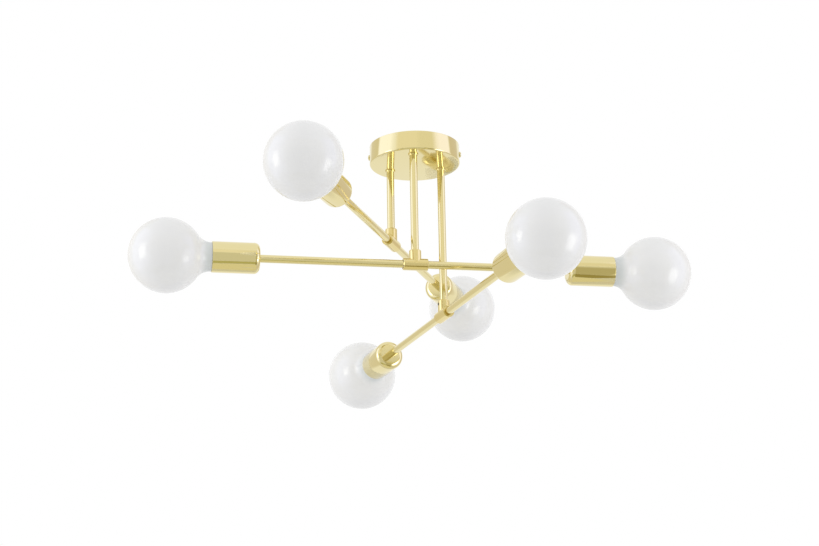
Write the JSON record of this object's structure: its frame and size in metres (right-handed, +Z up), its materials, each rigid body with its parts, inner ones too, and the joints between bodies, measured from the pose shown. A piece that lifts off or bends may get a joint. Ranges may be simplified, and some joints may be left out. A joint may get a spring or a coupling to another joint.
{
  "type": "ceiling light",
  "caption": "Semi-flush ceiling light: a round canopy, stems of stepped length and swivelling crossed bars with cup lampholders and opal globe bulbs.",
  "frame": {"origin": "centre of the bracket's ceiling face, midway between its two fixing slots", "axes": "+Z up into the ceiling, +X along the ceiling bracket, the middle bar's stem stands on -Y"},
  "size_m": [0.7094, 0.7025, 0.2725],
  "materials": {
    "polished_brass": "mirror-polished pale gold plating",
    "plain_brass": "turned, not plated",
    "plated_steel": "bright zinc plating",
    "dark_steel": "black oxide",
    "nickel_contacts": "nickel-plated sheet",
    "nickel_cap": "rolled bright metal",
    "white_ceramic": "white glaze",
    "opal_glass": "opal white, glossy outside",
    "white_nylon": "moulded, slightly translucent",
    "brown_insulation": "smooth insulation",
    "blue_insulation": "smooth insulation",
    "green_insulation": "smooth insulation with a yellow stripe",
    "white_insulation": "heat-proof silicone insulation"
  },
  "bodies": {
    "root": {"canopy": "polished_brass", "ceiling_bracket": "plated_steel", "canopy_screws": "polished_brass", "bracket_screws": "plated_steel", "terminal_block": "white_nylon", "terminal_sleeves": "plain_brass", "terminal_screws": "plated_steel", "live_wires": "brown_insulation", "neutral_wires": "blue_insulation", "earth_wire": "green_insulation", "stem_collars": "polished_brass", "stem_nuts": "plated_steel", "upper_stem": "polished_brass", "middle_stem": "polished_brass", "lower_stem": "polished_brass"},
    "upper_bar": {"upper_tee": "polished_brass", "upper_set_screw": "dark_steel", "upper_arm_wires": "white_insulation", "upper_cup_nuts": "plated_steel", "upper_holder_contacts": "nickel_contacts", "upper_front_arm": "polished_brass", "upper_front_cup": "polished_brass", "upper_front_lampholder": "white_ceramic", "upper_back_arm": "polished_brass", "upper_back_cup": "polished_brass", "upper_back_lampholder": "white_ceramic"},
    "upper_front_bulb": {"upper_front_globe": "opal_glass", "upper_front_screw_cap": "nickel_cap"},
    "upper_back_bulb": {"upper_back_globe": "opal_glass", "upper_back_screw_cap": "nickel_cap"},
    "middle_bar": {"middle_tee": "polished_brass", "middle_set_screw": "dark_steel", "middle_arm_wires": "white_insulation", "middle_cup_nuts": "plated_steel", "middle_holder_contacts": "nickel_contacts", "middle_left_arm": "polished_brass", "middle_left_cup": "polished_brass", "middle_left_lampholder": "white_ceramic", "middle_right_arm": "polished_brass", "middle_right_cup": "polished_brass", "middle_right_lampholder": "white_ceramic"},
    "middle_left_bulb": {"middle_left_globe": "opal_glass", "middle_left_screw_cap": "nickel_cap"},
    "middle_right_bulb": {"middle_right_globe": "opal_glass", "middle_right_screw_cap": "nickel_cap"},
    "lower_bar": {"lower_tee": "polished_brass", "lower_set_screw": "dark_steel", "lower_arm_wires": "white_insulation", "lower_cup_nuts": "plated_steel", "lower_holder_contacts": "nickel_contacts", "lower_front_arm": "polished_brass", "lower_front_cup": "polished_brass", "lower_front_lampholder": "white_ceramic", "lower_back_arm": "polished_brass", "lower_back_cup": "polished_brass", "lower_back_lampholder": "white_ceramic"},
    "lower_front_bulb": {"lower_front_globe": "opal_glass", "lower_front_screw_cap": "nickel_cap"},
    "lower_back_bulb": {"lower_back_globe": "opal_glass", "lower_back_screw_cap": "nickel_cap"}
  },
  "joints": [
    {"name": "upper_bar_swivel", "type": "hinge", "parent": "root", "child": "upper_bar", "pos_m": [-0.03334, 0.01925, -0.125], "axis": [0, 0, 1], "range_deg": [-20, 30]},
    {"name": "upper_front_bulb_turn", "type": "hinge", "parent": "upper_bar", "child": "upper_front_bulb", "pos_m": [-0.10008, -0.22303, -0.125], "axis": [-0.2656, -0.9641, 0], "range_deg": [0, 1080]},
    {"name": "upper_back_bulb_turn", "type": "hinge", "parent": "upper_bar", "child": "upper_back_bulb", "pos_m": [0.03339, 0.26153, -0.125], "axis": [0.2656, 0.9641, 0], "range_deg": [0, 1080]},
    {"name": "middle_bar_swivel", "type": "hinge", "parent": "root", "child": "middle_bar", "pos_m": [0, -0.0385, -0.175], "axis": [0, 0, 1], "range_deg": [-20, 12]},
    {"name": "middle_left_bulb_turn", "type": "hinge", "parent": "middle_bar", "child": "middle_left_bulb", "pos_m": [-0.24505, -0.09417, -0.175], "axis": [-0.9751, -0.2215, 0], "range_deg": [0, 1080]},
    {"name": "middle_right_bulb_turn", "type": "hinge", "parent": "middle_bar", "child": "middle_right_bulb", "pos_m": [0.24505, 0.01717, -0.175], "axis": [0.9751, 0.2215, 0], "range_deg": [0, 1080]},
    {"name": "lower_bar_swivel", "type": "hinge", "parent": "root", "child": "lower_bar", "pos_m": [0.03334, 0.01925, -0.225], "axis": [0, 0, 1], "range_deg": [-30, 30]},
    {"name": "lower_front_bulb_turn", "type": "hinge", "parent": "lower_bar", "child": "lower_front_bulb", "pos_m": [0.13556, -0.21032, -0.225], "axis": [0.4067, -0.9135, 0], "range_deg": [0, 1080]},
    {"name": "lower_back_bulb_turn", "type": "hinge", "parent": "lower_bar", "child": "lower_back_bulb", "pos_m": [-0.06887, 0.24882, -0.225], "axis": [-0.4067, 0.9135, 0], "range_deg": [0, 1080]}
  ]
}
